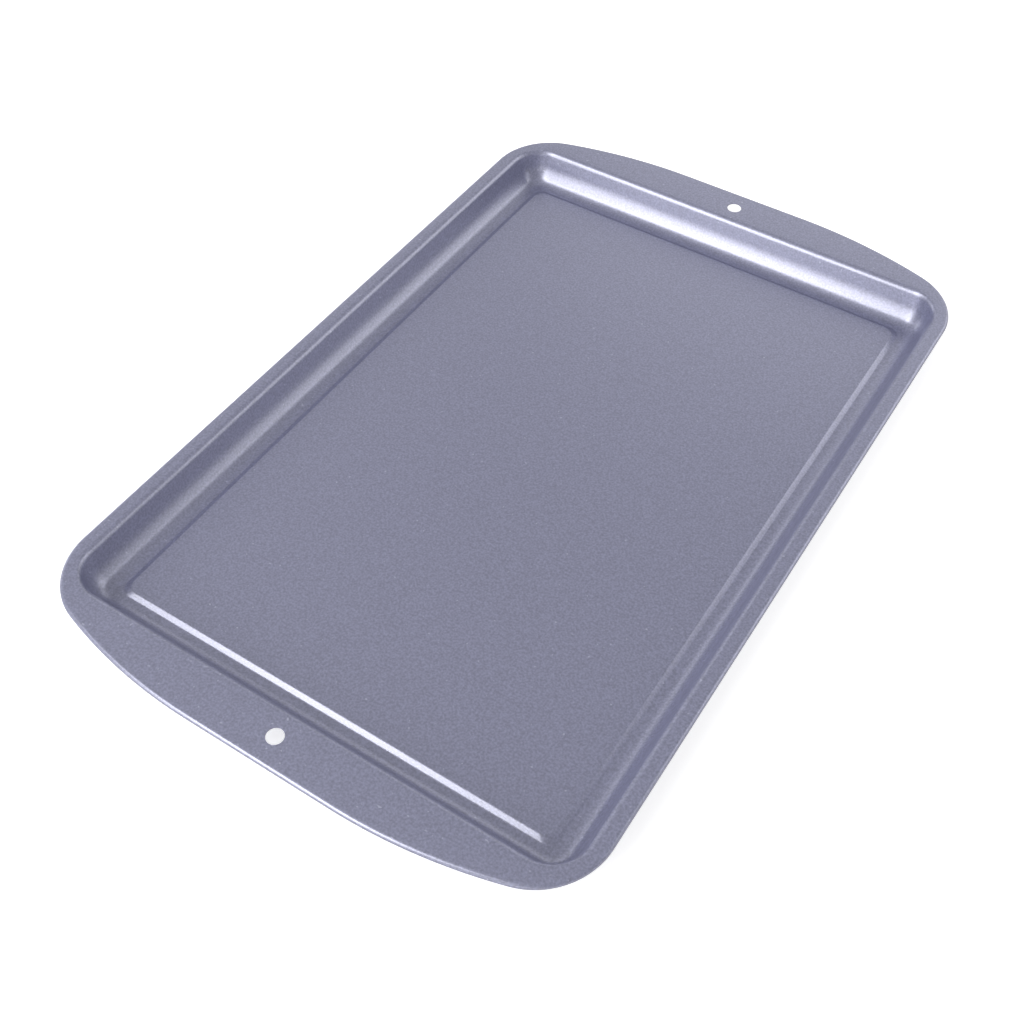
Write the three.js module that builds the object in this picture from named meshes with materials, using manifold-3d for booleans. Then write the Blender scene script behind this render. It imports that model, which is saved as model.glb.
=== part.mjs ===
// A cookie sheet: one steel sheet pressed into a shallow pan with a raised floor and a handle at each
// end, and the stiffening wire that its rolled edge is closed round.
// Millimetres, +Z up. The origin is on the surface the pan stands on, under the middle of the floor.
// X runs across the pan and Y along it, from handle to handle.

import * as THREE from 'three';
import { mergeVertices } from 'three/addons/utils/BufferGeometryUtils.js';
import Module from 'manifold-3d';

// Driving dimensions: lengths in millimetres, angles in degrees.
const sheetThickness = 0.5;

// Raised floor, measured to the edge where it starts to fall.
const floorWidth = 223;
const floorLength = 348;
const floorCornerRadius = 6;

// Section from the floor outwards: a step down with a rounded crest and foot, the channel that the pan
// stands on, a cove that eases into a steeper wall, and a bend out to the level flange. Radii are those
// of the top surface, and angles are measured from the level.
const stepHeight = 1.3;
const stepAngle = 27;
const stepCrestRadius = 1.8;
const stepFootRadius = 1.8;
const channelWidth = 1.8;
const channelDepth = 17.3;
const coveRadius = 7.7;
const coveAngle = 50;
const lowerWallRadius = 20;
const wallAngle = 73;
const rimBendRadius = 3.5;

// Corners of the pan: tight round the floor and open at the rim. The flare is the power by which they
// open on the way out: at 1 they would open evenly, and a larger one keeps them tight for longer.
const rimCornerRadius = 23;
const cornerFlare = 2.8;

// Flange: a narrow strip along the sides that widens to a handle at each end. Its outline is the
// middle of the rolled edge, and a handle is straight for a stretch before its shoulders curve back.
const sideFlangeWidth = 4.1;
const handleWidth = 20.5;
const handleStraightLength = 73;
const handleShoulderRadius = 257;
const outlineCornerRadius = 34.5;

// Rolled edge and the wire inside it, a single length whose ends nearly meet half way along one side.
const wireDiameter = 1.5;
const wireClearance = 0.3;
const wireEndGap = 1.5;
const curlTurn = 270;

// Hole for hanging, punched in each handle, measured from the rim bend.
const hangHoleDiameter = 7.8;
const hangHoleInset = 9.2;

// Number of flat steps that stand for each curved stretch.
const cornerSteps = 10;
const handleSteps = 14;
const sideSteps = 2;
const stepArcSteps = 3;
const coveSteps = 5;
const lowerWallSteps = 3;
const rimBendSteps = 5;
const curlSteps = 9;
const wireSides = 8;
const holeSides = 32;

// Sizes that follow from those above.
const radians = THREE.MathUtils.degToRad;
const stepSlope = radians(stepAngle);
const coveSlope = radians(coveAngle);
const wallSlope = radians(wallAngle);
const channelTop = sheetThickness;
const floorTop = channelTop + stepHeight;
const flangeTop = channelTop + channelDepth;
const stepFall = stepHeight - (stepCrestRadius + stepFootRadius) * (1 - Math.cos(stepSlope));
const coveRise = coveRadius * (1 - Math.cos(coveSlope));
const lowerWallRise = lowerWallRadius * (Math.cos(coveSlope) - Math.cos(wallSlope));
const rimBendRise = rimBendRadius * (1 - Math.cos(wallSlope));
const wallRise = channelDepth - coveRise - lowerWallRise - rimBendRise;
const curlInnerRadius = wireDiameter / 2 + wireClearance;
const curlOuterRadius = curlInnerRadius + sheetThickness;
const curlHeight = flangeTop - curlOuterRadius;

// The top surface in section, as points with the slope of the sheet there. The line starts level at
// the floor's edge; bend() turns it round an arc, up for a positive angle, and run() carries it straight.
function traceSection() {
  const points = [{ out: 0, height: floorTop, slope: 0 }];

  function run(length) {
    const { out, height, slope } = points.at(-1);
    points.push({ out: out + length * Math.cos(slope), height: height + length * Math.sin(slope), slope });
  }

  function bend(radius, angle, steps) {
    const start = points.at(-1);
    const side = Math.sign(angle);
    for (let step = 1; step <= steps; step += 1) {
      const slope = start.slope + (angle * step) / steps;
      points.push({
        out: start.out + side * radius * (Math.sin(slope) - Math.sin(start.slope)),
        height: start.height - side * radius * (Math.cos(slope) - Math.cos(start.slope)),
        slope,
      });
    }
  }

  bend(stepCrestRadius, -stepSlope, stepArcSteps);
  run(stepFall / Math.sin(stepSlope));
  bend(stepFootRadius, stepSlope, stepArcSteps);
  run(channelWidth);
  bend(coveRadius, coveSlope, coveSteps);
  bend(lowerWallRadius, wallSlope - coveSlope, lowerWallSteps);
  run(wallRise / Math.sin(wallSlope));
  bend(rimBendRadius, -wallSlope, rimBendSteps);
  return points;
}

const section = traceSection();
const flangeStart = section.at(-1).out;

// Outline of the flange in one quarter, centred on the rolled edge: a straight side, a corner arc, a
// shoulder arc that meets it smoothly, and the straight end of the handle.
const outlineHalfWidth = floorWidth / 2 + flangeStart + sideFlangeWidth;
const outlineHalfLength = floorLength / 2 + flangeStart + handleWidth;
const shoulderCentre = new THREE.Vector2(handleStraightLength / 2, outlineHalfLength - handleShoulderRadius);
const cornerCentreX = outlineHalfWidth - outlineCornerRadius;
const arcCentreSpacing = handleShoulderRadius - outlineCornerRadius;
const cornerRise = Math.sqrt(arcCentreSpacing ** 2 - (cornerCentreX - shoulderCentre.x) ** 2);
const cornerCentre = new THREE.Vector2(cornerCentreX, shoulderCentre.y + cornerRise);
const cornerEndAngle = cornerCentre.clone().sub(shoulderCentre).angle();

// Distance of a point in the first quarter from the outline, negative inside, and the way out there.
function outlineDistance(point) {
  const fromCorner = point.clone().sub(cornerCentre);
  if (fromCorner.y <= 0) {
    return { distance: point.x - outlineHalfWidth, normal: new THREE.Vector2(1, 0) };
  }
  if (fromCorner.angle() < cornerEndAngle) {
    return { distance: fromCorner.length() - outlineCornerRadius, normal: fromCorner.normalize() };
  }
  if (point.x <= shoulderCentre.x) {
    return { distance: point.y - outlineHalfLength, normal: new THREE.Vector2(0, 1) };
  }
  const fromShoulder = point.clone().sub(shoulderCentre);
  return { distance: fromShoulder.length() - handleShoulderRadius, normal: fromShoulder.normalize() };
}

// Corner radius of the pan at a distance out from the floor's edge.
function cornerRadius(out) {
  const share = Math.max(out, 0) / flangeStart;
  return floorCornerRadius + (rimCornerRadius - floorCornerRadius) * share ** cornerFlare;
}

// A station is one place round the pan where the section stands. It lies across and along the rectangle
// of corner centres, as shares of that rectangle's half sides, and faces out in its direction. This is
// its point at a distance out from the floor's edge.
function stationPoint({ across, along, direction }, out) {
  const radius = cornerRadius(out);
  return new THREE.Vector2(
    across * (floorWidth / 2 + out - radius) + direction.x * radius,
    along * (floorLength / 2 + out - radius) + direction.y * radius,
  );
}

// A station also holds the point where it meets the outline, and the way out of the outline there.
function makeStation(across, along, angle) {
  const direction = new THREE.Vector2(Math.cos(angle), Math.sin(angle));
  const edge = stationPoint({ across, along, direction }, flangeStart);
  const approachSteps = 60;
  for (let step = 0; step < approachSteps; step += 1) {
    edge.addScaledVector(direction, -outlineDistance(edge).distance);
  }
  return { across, along, direction, edge, edgeNormal: outlineDistance(edge).normal };
}

// Stations of one quarter, from the middle of the right side round to the middle of the far end.
function quarterStations() {
  const quarterTurn = Math.PI / 2;
  const stations = [];
  for (let step = 0; step < sideSteps / 2; step += 1) {
    stations.push(makeStation(1, step / (sideSteps / 2), 0));
  }
  for (let step = 0; step < cornerSteps; step += 1) {
    stations.push(makeStation(1, 1, (quarterTurn * step) / cornerSteps));
  }
  for (let step = 0; step <= handleSteps / 2; step += 1) {
    stations.push(makeStation(1 - step / (handleSteps / 2), 1, quarterTurn));
  }
  return stations;
}

// The same stations on another quarter, mirrored by a sign for X and one for Y.
function mirrorStations(stations, signX, signY) {
  const signs = new THREE.Vector2(signX, signY);
  return stations.map((station) => ({
    across: station.across * signX,
    along: station.along * signY,
    direction: station.direction.clone().multiply(signs),
    edge: station.edge.clone().multiply(signs),
    edgeNormal: station.edgeNormal.clone().multiply(signs),
  }));
}

// All stations, anticlockwise from the middle of the right side and back to it, so that the first
// and the last are the same place.
function allStations() {
  const quarter = quarterStations();
  const farLeft = mirrorStations(quarter, -1, 1).reverse();
  const nearLeft = mirrorStations(quarter, -1, -1);
  const nearRight = mirrorStations(quarter, 1, -1).reverse();
  return [...quarter, ...farLeft.slice(1), ...nearLeft.slice(1), ...nearRight.slice(1)];
}

// A closed solid through rings of equal length, with a fan over the first ring and over the last.
function loftSolid(rings) {
  const ringSize = rings[0].length;
  const centreOf = (ring) =>
    ring.reduce((sum, point) => sum.add(point), new THREE.Vector3()).divideScalar(ringSize);
  const points = [...rings.flat(), centreOf(rings[0]), centreOf(rings.at(-1))];
  const firstCentre = points.length - 2;
  const lastCentre = points.length - 1;
  const lastRing = (rings.length - 1) * ringSize;
  const triangles = [];
  for (let place = 0; place < ringSize; place += 1) {
    const next = (place + 1) % ringSize;
    triangles.push(firstCentre, place, next);
    triangles.push(lastCentre, lastRing + next, lastRing + place);
    for (let start = 0; start < lastRing; start += ringSize) {
      const end = start + ringSize;
      triangles.push(start + place, end + place, end + next);
      triangles.push(start + place, end + next, start + next);
    }
  }
  const geometry = new THREE.BufferGeometry().setFromPoints(points);
  geometry.setIndex(triangles);
  return geometry;
}

// The pressed sheet: out along its top surface, round the curl, and back along its underside. Each ring
// is one point of the section carried round all the stations.
function panGeometry(stations) {
  function sectionRing({ out, height, slope }, depth) {
    const reach = out + depth * Math.sin(slope);
    const level = height - depth * Math.cos(slope);
    return stations.map((station) => {
      const point = stationPoint(station, reach);
      return new THREE.Vector3(point.x, point.y, level);
    });
  }

  function curlRing(radius, angle) {
    return stations.map(({ edge, edgeNormal }) => {
      const point = edge.clone().addScaledVector(edgeNormal, radius * Math.cos(angle));
      return new THREE.Vector3(point.x, point.y, curlHeight + radius * Math.sin(angle));
    });
  }

  const curlAngles = Array.from(
    { length: curlSteps + 1 },
    (_, step) => radians(90 - (curlTurn * step) / curlSteps),
  );
  const topRings = section.map((point) => sectionRing(point, 0));
  const curlOutside = curlAngles.map((angle) => curlRing(curlOuterRadius, angle));
  const curlInside = curlAngles.map((angle) => curlRing(curlInnerRadius, angle)).reverse();
  const undersideRings = section.map((point) => sectionRing(point, sheetThickness)).reverse();
  return loftSolid([...topRings, ...curlOutside, ...curlInside, ...undersideRings]);
}

// The wire: a round section carried along the rolled edge, from one side of the gap round to the other.
function wireGeometry(stations) {
  const endShift = new THREE.Vector2(0, wireEndGap / 2);
  const path = stations.map(({ edge, edgeNormal }) => ({ edge: edge.clone(), edgeNormal }));
  path.at(0).edge.add(endShift);
  path.at(-1).edge.sub(endShift);
  const rings = path.map(({ edge, edgeNormal }) => {
    const ring = [];
    for (let side = 0; side < wireSides; side += 1) {
      const angle = (2 * Math.PI * side) / wireSides;
      const point = edge.clone().addScaledVector(edgeNormal, (wireDiameter / 2) * Math.cos(angle));
      ring.push(new THREE.Vector3(point.x, point.y, curlHeight + (wireDiameter / 2) * Math.sin(angle)));
    }
    return ring;
  });
  return loftSolid(rings);
}

const wasm = await Module();
wasm.setup();

function toManifold(geometry) {
  const bare = geometry.clone();
  bare.deleteAttribute('normal');
  bare.deleteAttribute('uv');
  const merged = mergeVertices(bare);
  const vertProperties = new Float32Array(merged.attributes.position.array);
  const triVerts = new Uint32Array(merged.index.array);
  return new wasm.Manifold(new wasm.Mesh({ numProp: 3, vertProperties, triVerts }));
}

function toGeometry(manifold) {
  const { vertProperties, triVerts } = manifold.getMesh();
  const geometry = new THREE.BufferGeometry();
  geometry.setAttribute('position', new THREE.BufferAttribute(vertProperties, 3));
  geometry.setIndex(new THREE.BufferAttribute(triVerts, 1));
  geometry.computeVertexNormals();
  return geometry;
}

// The punch for one hang hole, standing through the middle of a handle.
function hangHolePunch(endSign) {
  const punchLength = 6 * sheetThickness;
  const holeY = floorLength / 2 + flangeStart + hangHoleInset;
  const punch = new THREE.CylinderGeometry(hangHoleDiameter / 2, hangHoleDiameter / 2, punchLength, holeSides);
  punch.rotateX(Math.PI / 2);
  punch.translate(0, endSign * holeY, flangeTop - sheetThickness / 2);
  return punch;
}

const stations = allStations();

const greyCoat = new THREE.MeshStandardMaterial({ color: 0x83859a, roughness: 0.42, metalness: 0.6 });
const bareSteel = new THREE.MeshStandardMaterial({ color: 0xa3a6aa, roughness: 0.35, metalness: 1 });

let panSolid = toManifold(panGeometry(stations.slice(0, -1)));
for (const endSign of [-1, 1]) {
  panSolid = panSolid.subtract(toManifold(hangHolePunch(endSign)));
}
const panBody = new THREE.Mesh(toGeometry(panSolid), greyCoat);
panBody.name = 'pan_body';

const rimWire = new THREE.Mesh(wireGeometry(stations), bareSteel);
rimWire.geometry.computeVertexNormals();
rimWire.name = 'rim_wire';

const cookieSheet = new THREE.Group();
cookieSheet.add(panBody, rimWire);

export default cookieSheet;
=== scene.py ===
"""Looks of the cookie sheet: the pressed and coated steel sheet, the wire in its rolled edge, a pale
floor, studio light and the camera. Metres, +Z up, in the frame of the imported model."""

import math

import bmesh
import bpy
from mathutils import Euler, Matrix, Vector


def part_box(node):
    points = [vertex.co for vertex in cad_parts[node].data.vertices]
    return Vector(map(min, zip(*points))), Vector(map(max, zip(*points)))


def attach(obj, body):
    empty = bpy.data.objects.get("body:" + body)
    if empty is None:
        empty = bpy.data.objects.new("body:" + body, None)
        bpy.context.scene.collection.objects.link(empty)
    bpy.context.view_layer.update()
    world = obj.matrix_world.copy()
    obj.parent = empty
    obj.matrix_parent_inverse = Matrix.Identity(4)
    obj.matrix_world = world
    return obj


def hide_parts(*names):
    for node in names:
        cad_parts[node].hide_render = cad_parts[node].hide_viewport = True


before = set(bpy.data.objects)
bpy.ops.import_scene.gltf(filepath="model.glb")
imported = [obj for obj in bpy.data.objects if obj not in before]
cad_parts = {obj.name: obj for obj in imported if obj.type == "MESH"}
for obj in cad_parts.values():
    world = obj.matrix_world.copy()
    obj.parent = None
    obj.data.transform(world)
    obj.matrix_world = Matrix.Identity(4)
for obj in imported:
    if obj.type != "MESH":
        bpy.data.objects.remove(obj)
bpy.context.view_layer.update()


# The pressed sheet. One blank of thin steel is drawn into a shallow pan with a raised floor, and its
# edge is left level as a flange that widens to a handle at each end. The rim is rolled under in a curl
# round a wire, and a hang hole is punched in each handle before the whole sheet is coated.
SHEET_THICKNESS = 0.0005
FLOOR_CORNER_RADIUS = 0.006
RIM_CORNER_RADIUS = 0.023
CORNER_FLARE = 2.8
FLOOR_BORDER = 0.0025
STEP_HEIGHT = 0.0013
STEP_SLOPE = math.radians(27)
STEP_CREST_RADIUS = 0.0018
STEP_FOOT_RADIUS = 0.0018
CHANNEL_WIDTH = 0.0018
COVE_RADIUS = 0.0077
COVE_SLOPE = math.radians(50)
LOWER_WALL_RADIUS = 0.020
WALL_SLOPE = math.radians(73)
RIM_BEND_RADIUS = 0.0035
FLANGE_BORDER = 0.0004
SIDE_FLANGE_WIDTH = 0.0041
HANDLE_WIDTH = 0.0205
HANDLE_STRAIGHT_LENGTH = 0.073
HANDLE_SHOULDER_RADIUS = 0.257
OUTLINE_CORNER_RADIUS = 0.0345
CURL_RADIUS = 0.00155
CURL_TURN = math.radians(270)
HANG_HOLE_RADIUS = 0.0039
HANG_HOLE_INSET = 0.0092
HANG_HOLE_BORDER = 0.0004
HANG_HOLE_EASING = 0.00012
HANG_HOLE_FIELD = 0.009
LEVEL_NORMAL = 0.9999
SHARP_FOLD = math.radians(40)

CORNER_STEPS = 24
HANDLE_CUTS = 60
SIDE_CUTS = 7
STEP_ARC_STEPS = 6
COVE_STEPS = 14
LOWER_WALL_STEPS = 6
RIM_BEND_STEPS = 10
CURL_STEPS = 18
HANG_HOLE_SIDES = 48
HANG_HOLE_EASING_STEPS = 3
OUTLINE_PASSES = 40

pan_low, pan_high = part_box("pan_body")
channel_top = pan_low.z + SHEET_THICKNESS
floor_top = channel_top + STEP_HEIGHT
flange_top = pan_high.z
step_radii = STEP_CREST_RADIUS + STEP_FOOT_RADIUS
step_fall = STEP_HEIGHT - step_radii * (1 - math.cos(STEP_SLOPE))
step_run = step_fall / math.tan(STEP_SLOPE)
cove_rise = COVE_RADIUS * (1 - math.cos(COVE_SLOPE))
lower_wall_rise = LOWER_WALL_RADIUS * (math.cos(COVE_SLOPE) - math.cos(WALL_SLOPE))
lower_wall_run = LOWER_WALL_RADIUS * (math.sin(WALL_SLOPE) - math.sin(COVE_SLOPE))
rim_bend_rise = RIM_BEND_RADIUS * (1 - math.cos(WALL_SLOPE))
wall_rise = flange_top - channel_top - cove_rise - lower_wall_rise - rim_bend_rise
wall_run = wall_rise / math.tan(WALL_SLOPE)
floor_to_channel = step_radii * math.sin(STEP_SLOPE) + step_run
cove_run = COVE_RADIUS * math.sin(COVE_SLOPE) + lower_wall_run
rim_run = wall_run + RIM_BEND_RADIUS * math.sin(WALL_SLOPE)
flange_start = floor_to_channel + CHANNEL_WIDTH + cove_run + rim_run

outline_half_width = pan_high.x - CURL_RADIUS
outline_half_length = pan_high.y - CURL_RADIUS
floor_half_width = outline_half_width - SIDE_FLANGE_WIDTH - flange_start
floor_half_length = outline_half_length - HANDLE_WIDTH - flange_start
floor_corner_x = floor_half_width - FLOOR_CORNER_RADIUS
floor_corner_y = floor_half_length - FLOOR_CORNER_RADIUS

shoulder_centre = Vector((HANDLE_STRAIGHT_LENGTH / 2, outline_half_length - HANDLE_SHOULDER_RADIUS))
outline_corner_x = outline_half_width - OUTLINE_CORNER_RADIUS
arc_spacing = HANDLE_SHOULDER_RADIUS - OUTLINE_CORNER_RADIUS
corner_rise = math.sqrt(arc_spacing ** 2 - (outline_corner_x - shoulder_centre.x) ** 2)
outline_corner = Vector((outline_corner_x, shoulder_centre.y + corner_rise))
corner_end = outline_corner - shoulder_centre


def outline_distance(point):
    """How far a point lies beyond the middle of the rolled edge, and the way out there."""
    sign_x = math.copysign(1, point.x)
    sign_y = math.copysign(1, point.y)
    place = Vector((abs(point.x), abs(point.y)))
    from_corner = place - outline_corner
    from_shoulder = place - shoulder_centre
    if from_corner.y <= 0:
        distance = place.x - outline_half_width
        way = Vector((1, 0))
    elif from_corner.cross(corner_end) > 0:
        distance = from_corner.length - OUTLINE_CORNER_RADIUS
        way = from_corner.normalized()
    elif place.x <= shoulder_centre.x:
        distance = place.y - outline_half_length
        way = Vector((0, 1))
    else:
        distance = from_shoulder.length - HANDLE_SHOULDER_RADIUS
        way = from_shoulder.normalized()
    return distance, Vector((way.x * sign_x, way.y * sign_y, 0))


def corner_radius(out):
    """Corner radius at a distance out from the floor's edge: tight below, opening to the rim."""
    if out <= 0:
        return FLOOR_CORNER_RADIUS + out
    share = min(out / flange_start, 1)
    return FLOOR_CORNER_RADIUS + (RIM_CORNER_RADIUS - FLOOR_CORNER_RADIUS) * share ** CORNER_FLARE


def core_half_sizes(out):
    """Half width and half length of the rectangle between the corner centres of a ring."""
    radius = corner_radius(out)
    return floor_half_width + out - radius, floor_half_length + out - radius


def corner_core(point, out):
    """The nearest place to a point on the rectangle between the corner centres of its ring."""
    core_x, core_y = core_half_sizes(out)
    return Vector((min(max(point.x, -core_x), core_x), min(max(point.y, -core_y), core_y), point.z))


def ring_place(point, out, next_out):
    """Carries a point of the ring at a distance out to the ring at the next distance out."""
    core = corner_core(point, out)
    way = (point - core) / corner_radius(out)
    core_x, core_y = core_half_sizes(out)
    next_core_x, next_core_y = core_half_sizes(next_out)
    stretch_x = next_core_x / core_x
    stretch_y = next_core_y / core_y
    next_core = Vector((core.x * stretch_x, core.y * stretch_y, core.z))
    return next_core + way * corner_radius(next_out)


def reach_outline(point):
    """Carries a point of the rim along its way out until it lies on the middle of the rolled edge."""
    way = (point - corner_core(point, flange_start)).normalized()
    place = point.copy()
    for _ in range(OUTLINE_PASSES):
        place -= way * outline_distance(place)[0]
    return place


def flange_edge(point):
    """Carries a point of the rim to the outer edge of the flange, a small border short of the roll."""
    reached = reach_outline(point)
    return reached - outline_distance(reached)[1] * FLANGE_BORDER


def carry(rim, move):
    """Extrudes the open edge of the sheet by one strip and moves each new point with move(point)."""
    made = bmesh.ops.extrude_edge_only(sheet, edges=rim)["geom"]
    for item in made:
        if isinstance(item, bmesh.types.BMVert):
            item.co = move(item.co)
    return [item for item in made if isinstance(item, bmesh.types.BMEdge) and item.is_boundary]


def press(rim, out, run, rise):
    """Carries the open edge straight out and up, and gives the new edge and its distance out."""
    lift = Vector((0, 0, rise))
    return carry(rim, lambda point: ring_place(point, out, out + run) + lift), out + run


def press_bend(rim, out, radius, start, turn, steps):
    """Carries the open edge round a bend, from a start slope by a turn that is positive upwards."""
    side = math.copysign(radius, turn)
    for step in range(steps):
        slope = start + turn * step / steps
        next_slope = start + turn * (step + 1) / steps
        run = side * (math.sin(next_slope) - math.sin(slope))
        rise = side * (math.cos(slope) - math.cos(next_slope))
        rim, out = press(rim, out, run, rise)
    return rim, out


sheet = bmesh.new()
floor_ring = bmesh.ops.create_circle(
    sheet, radius=FLOOR_CORNER_RADIUS - FLOOR_BORDER, segments=4 * CORNER_STEPS
)["verts"]
half_step = Matrix.Rotation(math.pi / (4 * CORNER_STEPS), 3, "Z")
bmesh.ops.rotate(sheet, verts=floor_ring, cent=(0, 0, 0), matrix=half_step)
for corner_sign_x in (-1, 1):
    for corner_sign_y in (-1, 1):
        corner_verts = [v for v in floor_ring if v.co.x * corner_sign_x > 0 and v.co.y * corner_sign_y > 0]
        corner_move = (corner_sign_x * floor_corner_x, corner_sign_y * floor_corner_y, floor_top)
        bmesh.ops.translate(sheet, verts=corner_verts, vec=corner_move)
handle_edges = [e for e in sheet.edges if abs(e.verts[0].co.x - e.verts[1].co.x) > floor_corner_x]
side_edges = [e for e in sheet.edges if abs(e.verts[0].co.y - e.verts[1].co.y) > floor_corner_y]
bmesh.ops.subdivide_edges(sheet, edges=handle_edges, cuts=HANDLE_CUTS)
bmesh.ops.subdivide_edges(sheet, edges=side_edges, cuts=SIDE_CUTS)
bmesh.ops.contextual_create(sheet, geom=sheet.edges[:])

rim, out = press(sheet.edges[:], -FLOOR_BORDER, FLOOR_BORDER, 0)
rim, out = press_bend(rim, out, STEP_CREST_RADIUS, 0, -STEP_SLOPE, STEP_ARC_STEPS)
rim, out = press(rim, out, step_run, -step_fall)
rim, out = press_bend(rim, out, STEP_FOOT_RADIUS, -STEP_SLOPE, STEP_SLOPE, STEP_ARC_STEPS)
rim, out = press(rim, out, CHANNEL_WIDTH, 0)
rim, out = press_bend(rim, out, COVE_RADIUS, 0, COVE_SLOPE, COVE_STEPS)
rim, out = press_bend(rim, out, LOWER_WALL_RADIUS, COVE_SLOPE, WALL_SLOPE - COVE_SLOPE, LOWER_WALL_STEPS)
rim, out = press(rim, out, wall_run, wall_rise)
rim, out = press_bend(rim, out, RIM_BEND_RADIUS, WALL_SLOPE, -WALL_SLOPE, RIM_BEND_STEPS)

rim = carry(rim, flange_edge)
rim = carry(rim, lambda point: point + outline_distance(point)[1] * FLANGE_BORDER)
for curl_step in range(CURL_STEPS):
    curl_angle = math.pi / 2 - CURL_TURN * curl_step / CURL_STEPS
    next_angle = math.pi / 2 - CURL_TURN * (curl_step + 1) / CURL_STEPS
    curl_run = CURL_RADIUS * (math.cos(next_angle) - math.cos(curl_angle))
    curl_rise = Vector((0, 0, CURL_RADIUS * (math.sin(next_angle) - math.sin(curl_angle))))
    rim = carry(rim, lambda point: point + outline_distance(point)[1] * curl_run + curl_rise)

hole_centres = []
for end_sign in (-1, 1):
    hole_centre = Vector((0, end_sign * (floor_half_length + flange_start + HANG_HOLE_INSET), flange_top))
    hole_centres.append(hole_centre)
    field = [
        face
        for face in sheet.faces
        if (face.calc_center_median() - hole_centre).length < HANG_HOLE_FIELD
        and abs(face.normal.z) > LEVEL_NORMAL
        and min(edge.calc_length() for edge in face.edges) > 2 * FLANGE_BORDER
    ]
    field_edges = {edge for face in field for edge in face.edges}
    bmesh.ops.delete(sheet, geom=field, context="FACES_ONLY")
    field_border = [edge for edge in field_edges if edge.is_valid and edge.is_boundary]
    bare_edges = [edge for edge in field_edges if edge.is_valid and edge.is_wire]
    bmesh.ops.delete(sheet, geom=bare_edges, context="EDGES")
    hole_matrix = Matrix.Translation(hole_centre)
    hole_verts = bmesh.ops.create_circle(
        sheet, radius=HANG_HOLE_RADIUS + HANG_HOLE_BORDER, segments=HANG_HOLE_SIDES, matrix=hole_matrix
    )["verts"]
    hole_rim = list({edge for vert in hole_verts for edge in vert.link_edges})
    bmesh.ops.triangle_fill(sheet, use_beauty=True, edges=field_border + hole_rim, normal=(0, 0, 1))
    carry(hole_rim, lambda point: point + (hole_centre - point).normalized() * HANG_HOLE_BORDER)

bmesh.ops.recalc_face_normals(sheet, faces=sheet.faces[:])
floor_face = max(sheet.faces, key=lambda face: face.calc_area())
if floor_face.normal.z < 0:
    bmesh.ops.reverse_faces(sheet, faces=sheet.faces[:])
bmesh.ops.solidify(sheet, geom=sheet.faces[:], thickness=SHEET_THICKNESS)

hole_edges = []
for edge in sheet.edges:
    for hole_centre in hole_centres:
        spans = [(vert.co.xy - hole_centre.xy).length for vert in edge.verts]
        level = abs(edge.verts[0].co.z - edge.verts[1].co.z) < HANG_HOLE_EASING
        if level and max(spans) < HANG_HOLE_RADIUS + HANG_HOLE_BORDER / 2:
            hole_edges.append(edge)
bmesh.ops.bevel(
    sheet,
    geom=hole_edges,
    offset=HANG_HOLE_EASING,
    affect="EDGES",
    segments=HANG_HOLE_EASING_STEPS,
    profile=0.5,
    material=-1,
)

sheet_mesh = bpy.data.meshes.new("pressed_sheet")
sheet.to_mesh(sheet_mesh)
sheet.free()
sheet_mesh.polygons.foreach_set("use_smooth", [True] * len(sheet_mesh.polygons))
sheet_mesh.set_sharp_from_angle(angle=SHARP_FOLD)
pressed_sheet = bpy.data.objects.new("pressed_sheet", sheet_mesh)
bpy.context.scene.collection.objects.link(pressed_sheet)


COAT_METALLIC = 0.34
COAT_IOR = 2.65
COAT_ROUGHNESS = (0.29, 0.37)
FLAKE_SCALE = 1000
FLAKE_DETAIL = 2
FLAKE_SPREAD = (0.3, 0.7)
DARK_FLAKE = (0.150, 0.155, 0.237, 1)
LIGHT_FLAKE = (0.250, 0.258, 0.395, 1)
BRIGHT_FLAKE_SCALE = 650
BRIGHT_FLAKE_DETAIL = 0
BRIGHT_FLAKE_SPREAD = (0.80, 0.88)
BRIGHT_FLAKE = (0.36, 0.37, 0.50, 1)
PEEL_SCALE = 900
PEEL_DETAIL = 3
PEEL_STRENGTH = 0.12
PEEL_DEPTH = 0.0003
FULL_RANGE = (0, 1)


def fine_noise(material, scale, detail):
    """Adds a fine noise in the piece's own coordinates to a material, and gives its value."""
    nodes = material.node_tree.nodes
    place = nodes.new("ShaderNodeTexCoord")
    noise = nodes.new("ShaderNodeTexNoise")
    noise.inputs["Scale"].default_value = scale
    noise.inputs["Detail"].default_value = detail
    material.node_tree.links.new(place.outputs["Object"], noise.inputs["Vector"])
    return noise.outputs["Fac"]


def spread(material, value, source, target):
    """Stretches a value from a source range over a target range, and gives the result."""
    stretch = material.node_tree.nodes.new("ShaderNodeMapRange")
    stretch.inputs["From Min"].default_value = source[0]
    stretch.inputs["From Max"].default_value = source[1]
    stretch.inputs["To Min"].default_value = target[0]
    stretch.inputs["To Max"].default_value = target[1]
    material.node_tree.links.new(value, stretch.inputs["Value"])
    return stretch.outputs["Result"]


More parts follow.
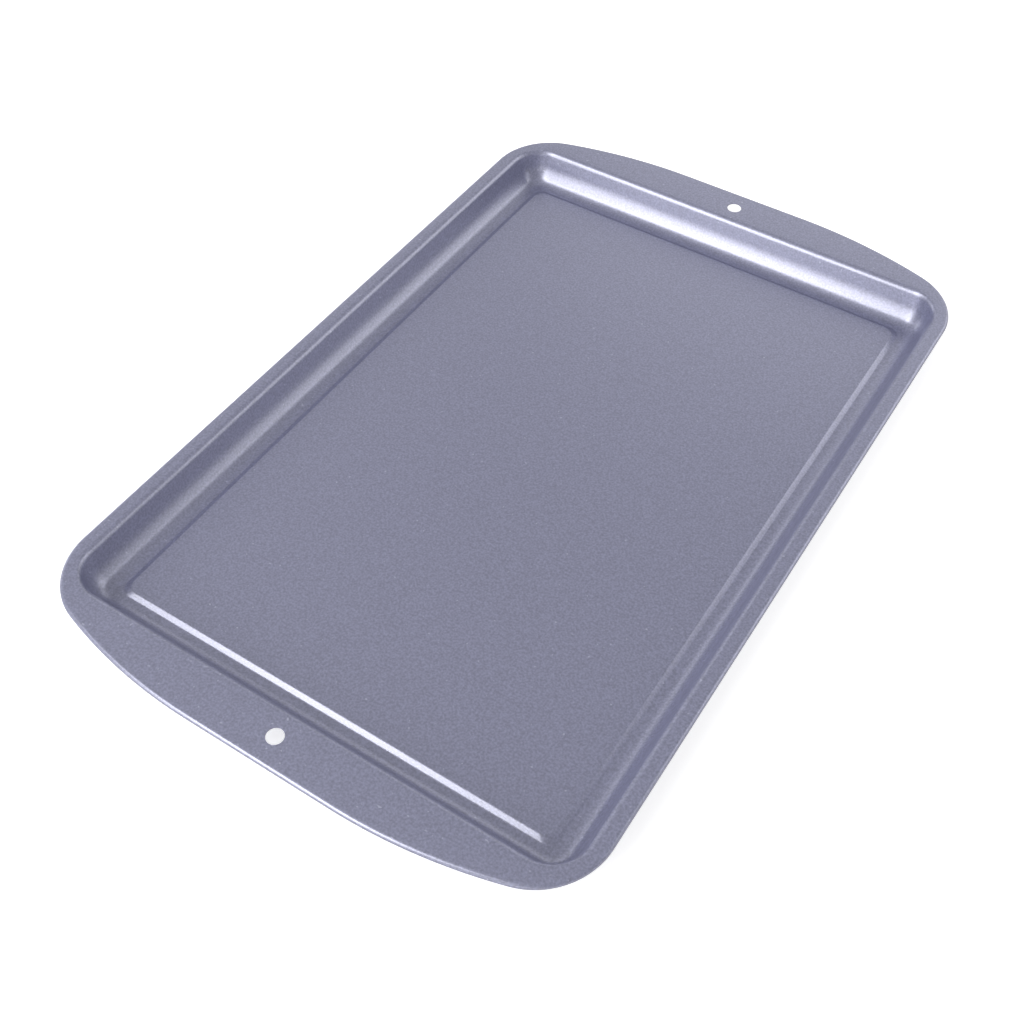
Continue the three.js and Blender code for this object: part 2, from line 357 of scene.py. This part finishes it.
def coat_material():
    """Satin lavender-grey non-stick coat: fine metallic flake, a few bright flakes, a faint orange peel."""
    material = bpy.data.materials.new("grey_flake_coat")
    material.use_nodes = True
    nodes = material.node_tree.nodes
    links = material.node_tree.links
    shader = nodes["Principled BSDF"]
    shader.inputs["Metallic"].default_value = COAT_METALLIC
    shader.inputs["IOR"].default_value = COAT_IOR

    flake = fine_noise(material, FLAKE_SCALE, FLAKE_DETAIL)
    colour = nodes.new("ShaderNodeMix")
    colour.data_type = "RGBA"
    colour.inputs["A"].default_value = DARK_FLAKE
    colour.inputs["B"].default_value = LIGHT_FLAKE
    links.new(spread(material, flake, FLAKE_SPREAD, FULL_RANGE), colour.inputs["Factor"])
    bright_flake = fine_noise(material, BRIGHT_FLAKE_SCALE, BRIGHT_FLAKE_DETAIL)
    speckled = nodes.new("ShaderNodeMix")
    speckled.data_type = "RGBA"
    speckled.inputs["B"].default_value = BRIGHT_FLAKE
    links.new(spread(material, bright_flake, BRIGHT_FLAKE_SPREAD, FULL_RANGE), speckled.inputs["Factor"])
    links.new(colour.outputs["Result"], speckled.inputs["A"])
    links.new(speckled.outputs["Result"], shader.inputs["Base Color"])
    links.new(spread(material, flake, FULL_RANGE, COAT_ROUGHNESS), shader.inputs["Roughness"])

    bump = nodes.new("ShaderNodeBump")
    bump.inputs["Strength"].default_value = PEEL_STRENGTH
    bump.inputs["Distance"].default_value = PEEL_DEPTH
    links.new(fine_noise(material, PEEL_SCALE, PEEL_DETAIL), bump.inputs["Height"])
    links.new(bump.outputs["Normal"], shader.inputs["Normal"])
    return material


sheet_mesh.materials.append(coat_material())
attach(pressed_sheet, "root")
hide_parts("pan_body")


# The rim wire. A length of drawn steel wire bent to the outline, closed inside the rolled edge so that
# the rim keeps its shape. It shows only through the slit of the curl, from below.
WIRE_MOTTLE_SCALE = 2500
WIRE_MOTTLE_DETAIL = 4
WIRE_DARK = (0.36, 0.37, 0.39, 1)
WIRE_LIGHT = (0.54, 0.55, 0.57, 1)
WIRE_ROUGHNESS = (0.22, 0.42)


def wire_material():
    """Bright drawn steel with a fine mottle and a little uneven gloss."""
    material = bpy.data.materials.new("drawn_wire")
    material.use_nodes = True
    nodes = material.node_tree.nodes
    links = material.node_tree.links
    shader = nodes["Principled BSDF"]
    shader.inputs["Metallic"].default_value = 1.0
    mottle = fine_noise(material, WIRE_MOTTLE_SCALE, WIRE_MOTTLE_DETAIL)
    colour = nodes.new("ShaderNodeMix")
    colour.data_type = "RGBA"
    colour.inputs["A"].default_value = WIRE_DARK
    colour.inputs["B"].default_value = WIRE_LIGHT
    links.new(mottle, colour.inputs["Factor"])
    links.new(colour.outputs["Result"], shader.inputs["Base Color"])
    links.new(spread(material, mottle, FULL_RANGE, WIRE_ROUGHNESS), shader.inputs["Roughness"])
    return material


wire_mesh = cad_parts["rim_wire"].data
wire_mesh.materials.clear()
wire_mesh.materials.append(wire_material())


# The floor. A plain white studio table that runs out of sight, so that it is also the background. It
# glows for rays from the camera and, faintly, for rays from shiny surfaces, so that both see it white,
# and it keeps the pan's soft shadow.
FLOOR_SIZE = 12.0
FLOOR_COLOUR = (0.8, 0.8, 0.8, 1)
FLOOR_GLOW = 0.6
FLOOR_MIRRORED_GLOW = 0.1

table = bmesh.new()
bmesh.ops.create_grid(table, x_segments=1, y_segments=1, size=FLOOR_SIZE / 2)
table_mesh = bpy.data.meshes.new("studio_floor")
table.to_mesh(table_mesh)
table.free()
studio_floor = bpy.data.objects.new("studio_floor", table_mesh)
bpy.context.scene.collection.objects.link(studio_floor)


def floor_material():
    """White table that a camera or mirror ray sees as white, less the shadow."""
    material = bpy.data.materials.new("white_table")
    material.use_nodes = True
    nodes = material.node_tree.nodes
    links = material.node_tree.links
    nodes.remove(nodes["Principled BSDF"])
    output = nodes["Material Output"]
    diffuse = nodes.new("ShaderNodeBsdfDiffuse")
    diffuse.inputs["Color"].default_value = FLOOR_COLOUR
    glow = nodes.new("ShaderNodeEmission")
    path = nodes.new("ShaderNodeLightPath")
    seen = nodes.new("ShaderNodeMath")
    seen.operation = "MAXIMUM"
    links.new(path.outputs["Is Camera Ray"], seen.inputs[0])
    links.new(path.outputs["Is Transmission Ray"], seen.inputs[1])
    seen_glow = nodes.new("ShaderNodeMath")
    seen_glow.operation = "MULTIPLY"
    seen_glow.inputs[1].default_value = FLOOR_GLOW
    links.new(seen.outputs["Value"], seen_glow.inputs[0])
    mirrored_glow = nodes.new("ShaderNodeMath")
    mirrored_glow.operation = "MULTIPLY"
    mirrored_glow.inputs[1].default_value = FLOOR_MIRRORED_GLOW
    links.new(path.outputs["Is Glossy Ray"], mirrored_glow.inputs[0])
    level = nodes.new("ShaderNodeMath")
    level.operation = "MAXIMUM"
    links.new(seen_glow.outputs["Value"], level.inputs[0])
    links.new(mirrored_glow.outputs["Value"], level.inputs[1])
    links.new(level.outputs["Value"], glow.inputs["Strength"])
    both = nodes.new("ShaderNodeAddShader")
    links.new(diffuse.outputs["BSDF"], both.inputs[0])
    links.new(glow.outputs["Emission"], both.inputs[1])
    links.new(both.outputs["Shader"], output.inputs["Surface"])
    return material


table_mesh.materials.append(floor_material())


# The light. A tall softbox with a wide halo, left of the camera, and a small bright panel over it draw
# the white lines along the bends that face them. Dimmer panels at the sides, overhead and behind draw
# the pale bands, and a grey surround fills the rest.
SURROUND_BRIGHTNESS = 0.45
SURROUND_COLOUR = (1, 1, 1, 1)
PANEL_DISTANCE = 2.2


def studio_panel(name, azimuth, elevation, width, height, brightness, distance=PANEL_DISTANCE):
    """Hangs a soft light panel that faces the pan, with a face of the given size and brightness. The
    azimuth is in degrees from the near end of the pan towards +X."""
    turn = math.radians(azimuth)
    lift = math.radians(elevation)
    way = Vector((math.sin(turn) * math.cos(lift), -math.cos(turn) * math.cos(lift), math.sin(lift)))
    light = bpy.data.lights.new(name, "AREA")
    light.shape = "RECTANGLE"
    light.size = width
    light.size_y = height
    light.energy = brightness * math.pi * width * height
    panel = bpy.data.objects.new(name, light)
    panel.location = way * distance
    panel.rotation_euler = (-way).to_track_quat("-Z", "Y").to_euler()
    panel.visible_camera = False
    bpy.context.scene.collection.objects.link(panel)


studio_panel("key_softbox", azimuth=-19, elevation=31, width=0.9, height=1.2, brightness=2.9)
studio_panel("upper_key", azimuth=-37, elevation=50, width=0.9, height=0.6, brightness=5.2)
studio_panel("key_halo", azimuth=-22, elevation=31.5, width=1.4, height=2.4, brightness=2.55, distance=2.3)
studio_panel("left_panel", azimuth=-62, elevation=46, width=0.8, height=1.4, brightness=0.7)
studio_panel("low_left_panel", azimuth=-97, elevation=13, width=1.1, height=1.2, brightness=1.4)
studio_panel("far_left_panel", azimuth=-131, elevation=24, width=0.8, height=0.8, brightness=0.85)
studio_panel("upper_left_panel", azimuth=-118, elevation=50, width=0.9, height=0.8, brightness=0.1)
studio_panel("far_panel", azimuth=-170, elevation=26, width=1.4, height=1.1, brightness=0.65)
studio_panel("top_panel", azimuth=-75, elevation=74, width=0.7, height=0.6, brightness=0.7)
studio_panel("low_front_panel", azimuth=18, elevation=9, width=1.1, height=0.8, brightness=1.45)
studio_panel("back_panel", azimuth=136, elevation=18, width=0.85, height=0.24, brightness=1.3, distance=0.75)
studio_panel("upper_back_panel", azimuth=135, elevation=35, width=1.8, height=0.6, brightness=1.85)

surround = bpy.data.worlds.new("studio_surround")
surround.use_nodes = True
surround.node_tree.nodes["Background"].inputs["Strength"].default_value = SURROUND_BRIGHTNESS
surround.node_tree.nodes["Background"].inputs["Color"].default_value = SURROUND_COLOUR
bpy.context.scene.world = surround


# The camera. It stands where the photograph was taken from, above the near right corner of the pan, and
# looks down along it.
CAMERA_PLACE = Vector((0.22012, -0.37492, 0.47312))
CAMERA_TURN = Euler((math.radians(39.8603), math.radians(-0.2968), math.radians(32.8121)))
CAMERA_LENS = 45.839
CAMERA_SENSOR = 36

camera_data = bpy.data.cameras.new("camera")
camera_data.lens = CAMERA_LENS
camera_data.sensor_width = CAMERA_SENSOR
camera = bpy.data.objects.new("camera", camera_data)
camera.location = CAMERA_PLACE
camera.rotation_euler = CAMERA_TURN
bpy.context.scene.collection.objects.link(camera)
bpy.context.scene.camera = camera
bpy.context.scene.view_settings.view_transform = "Standard"
